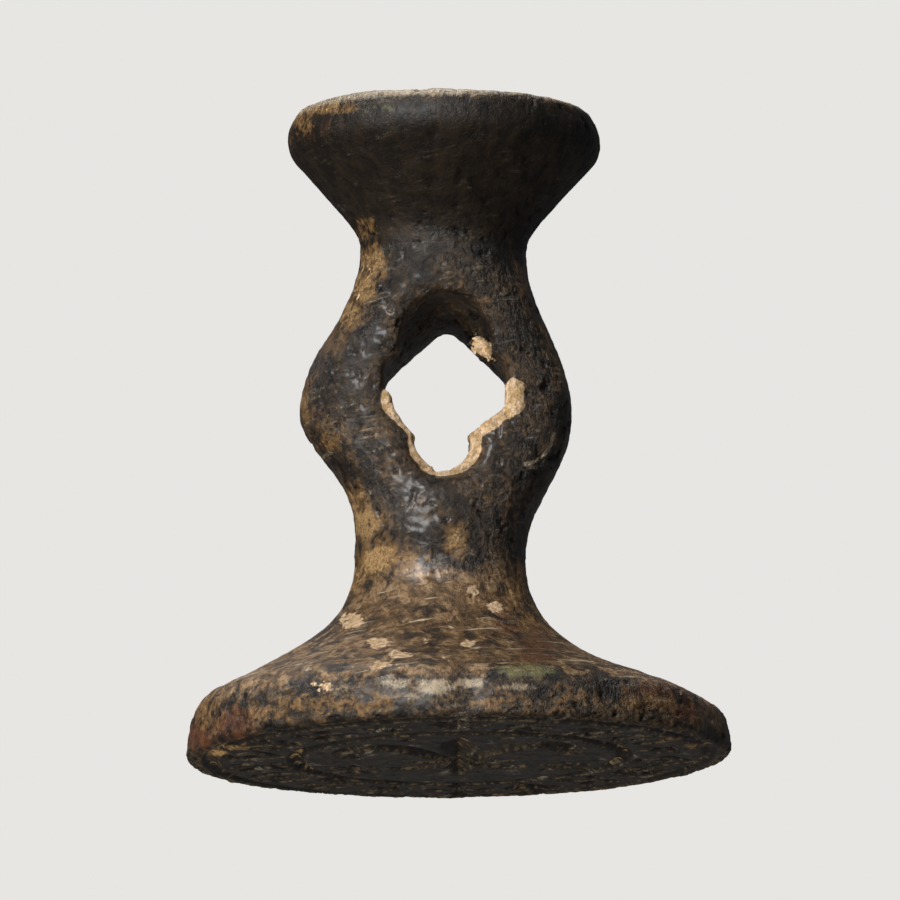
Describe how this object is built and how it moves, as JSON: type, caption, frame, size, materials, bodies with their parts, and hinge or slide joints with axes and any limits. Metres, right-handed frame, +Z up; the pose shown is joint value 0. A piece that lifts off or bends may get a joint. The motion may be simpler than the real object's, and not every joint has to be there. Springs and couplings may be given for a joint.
{
  "type": "double-ended seal matrix",
  "caption": "Double-ended seal matrix of cast copper alloy: a broad round die on a flared foot, a pierced bow to hold, and a small round die on top.",
  "frame": {"origin": "centre of the large engraved face, in its plane", "axes": "+Z up out of the back of the large die, along the stem, which leans 1.45 degrees towards +X; the hole in the bow runs along Y"},
  "size_m": [0.028, 0.028, 0.0336],
  "materials": {
    "die_bronze": "dark grey-brown patina with orange-brown soil, scratched and worn on the flared back",
    "handle_bronze": "dark brown patina with golden soil and pale crust inside the hole",
    "counter_bronze": "smooth dark grey-brown patina, worn brighter along the rim"
  },
  "bodies": {
    "root": {"seal_die": "die_bronze", "pierced_handle": "handle_bronze", "counterseal_die": "counter_bronze"}
  },
  "joints": []
}
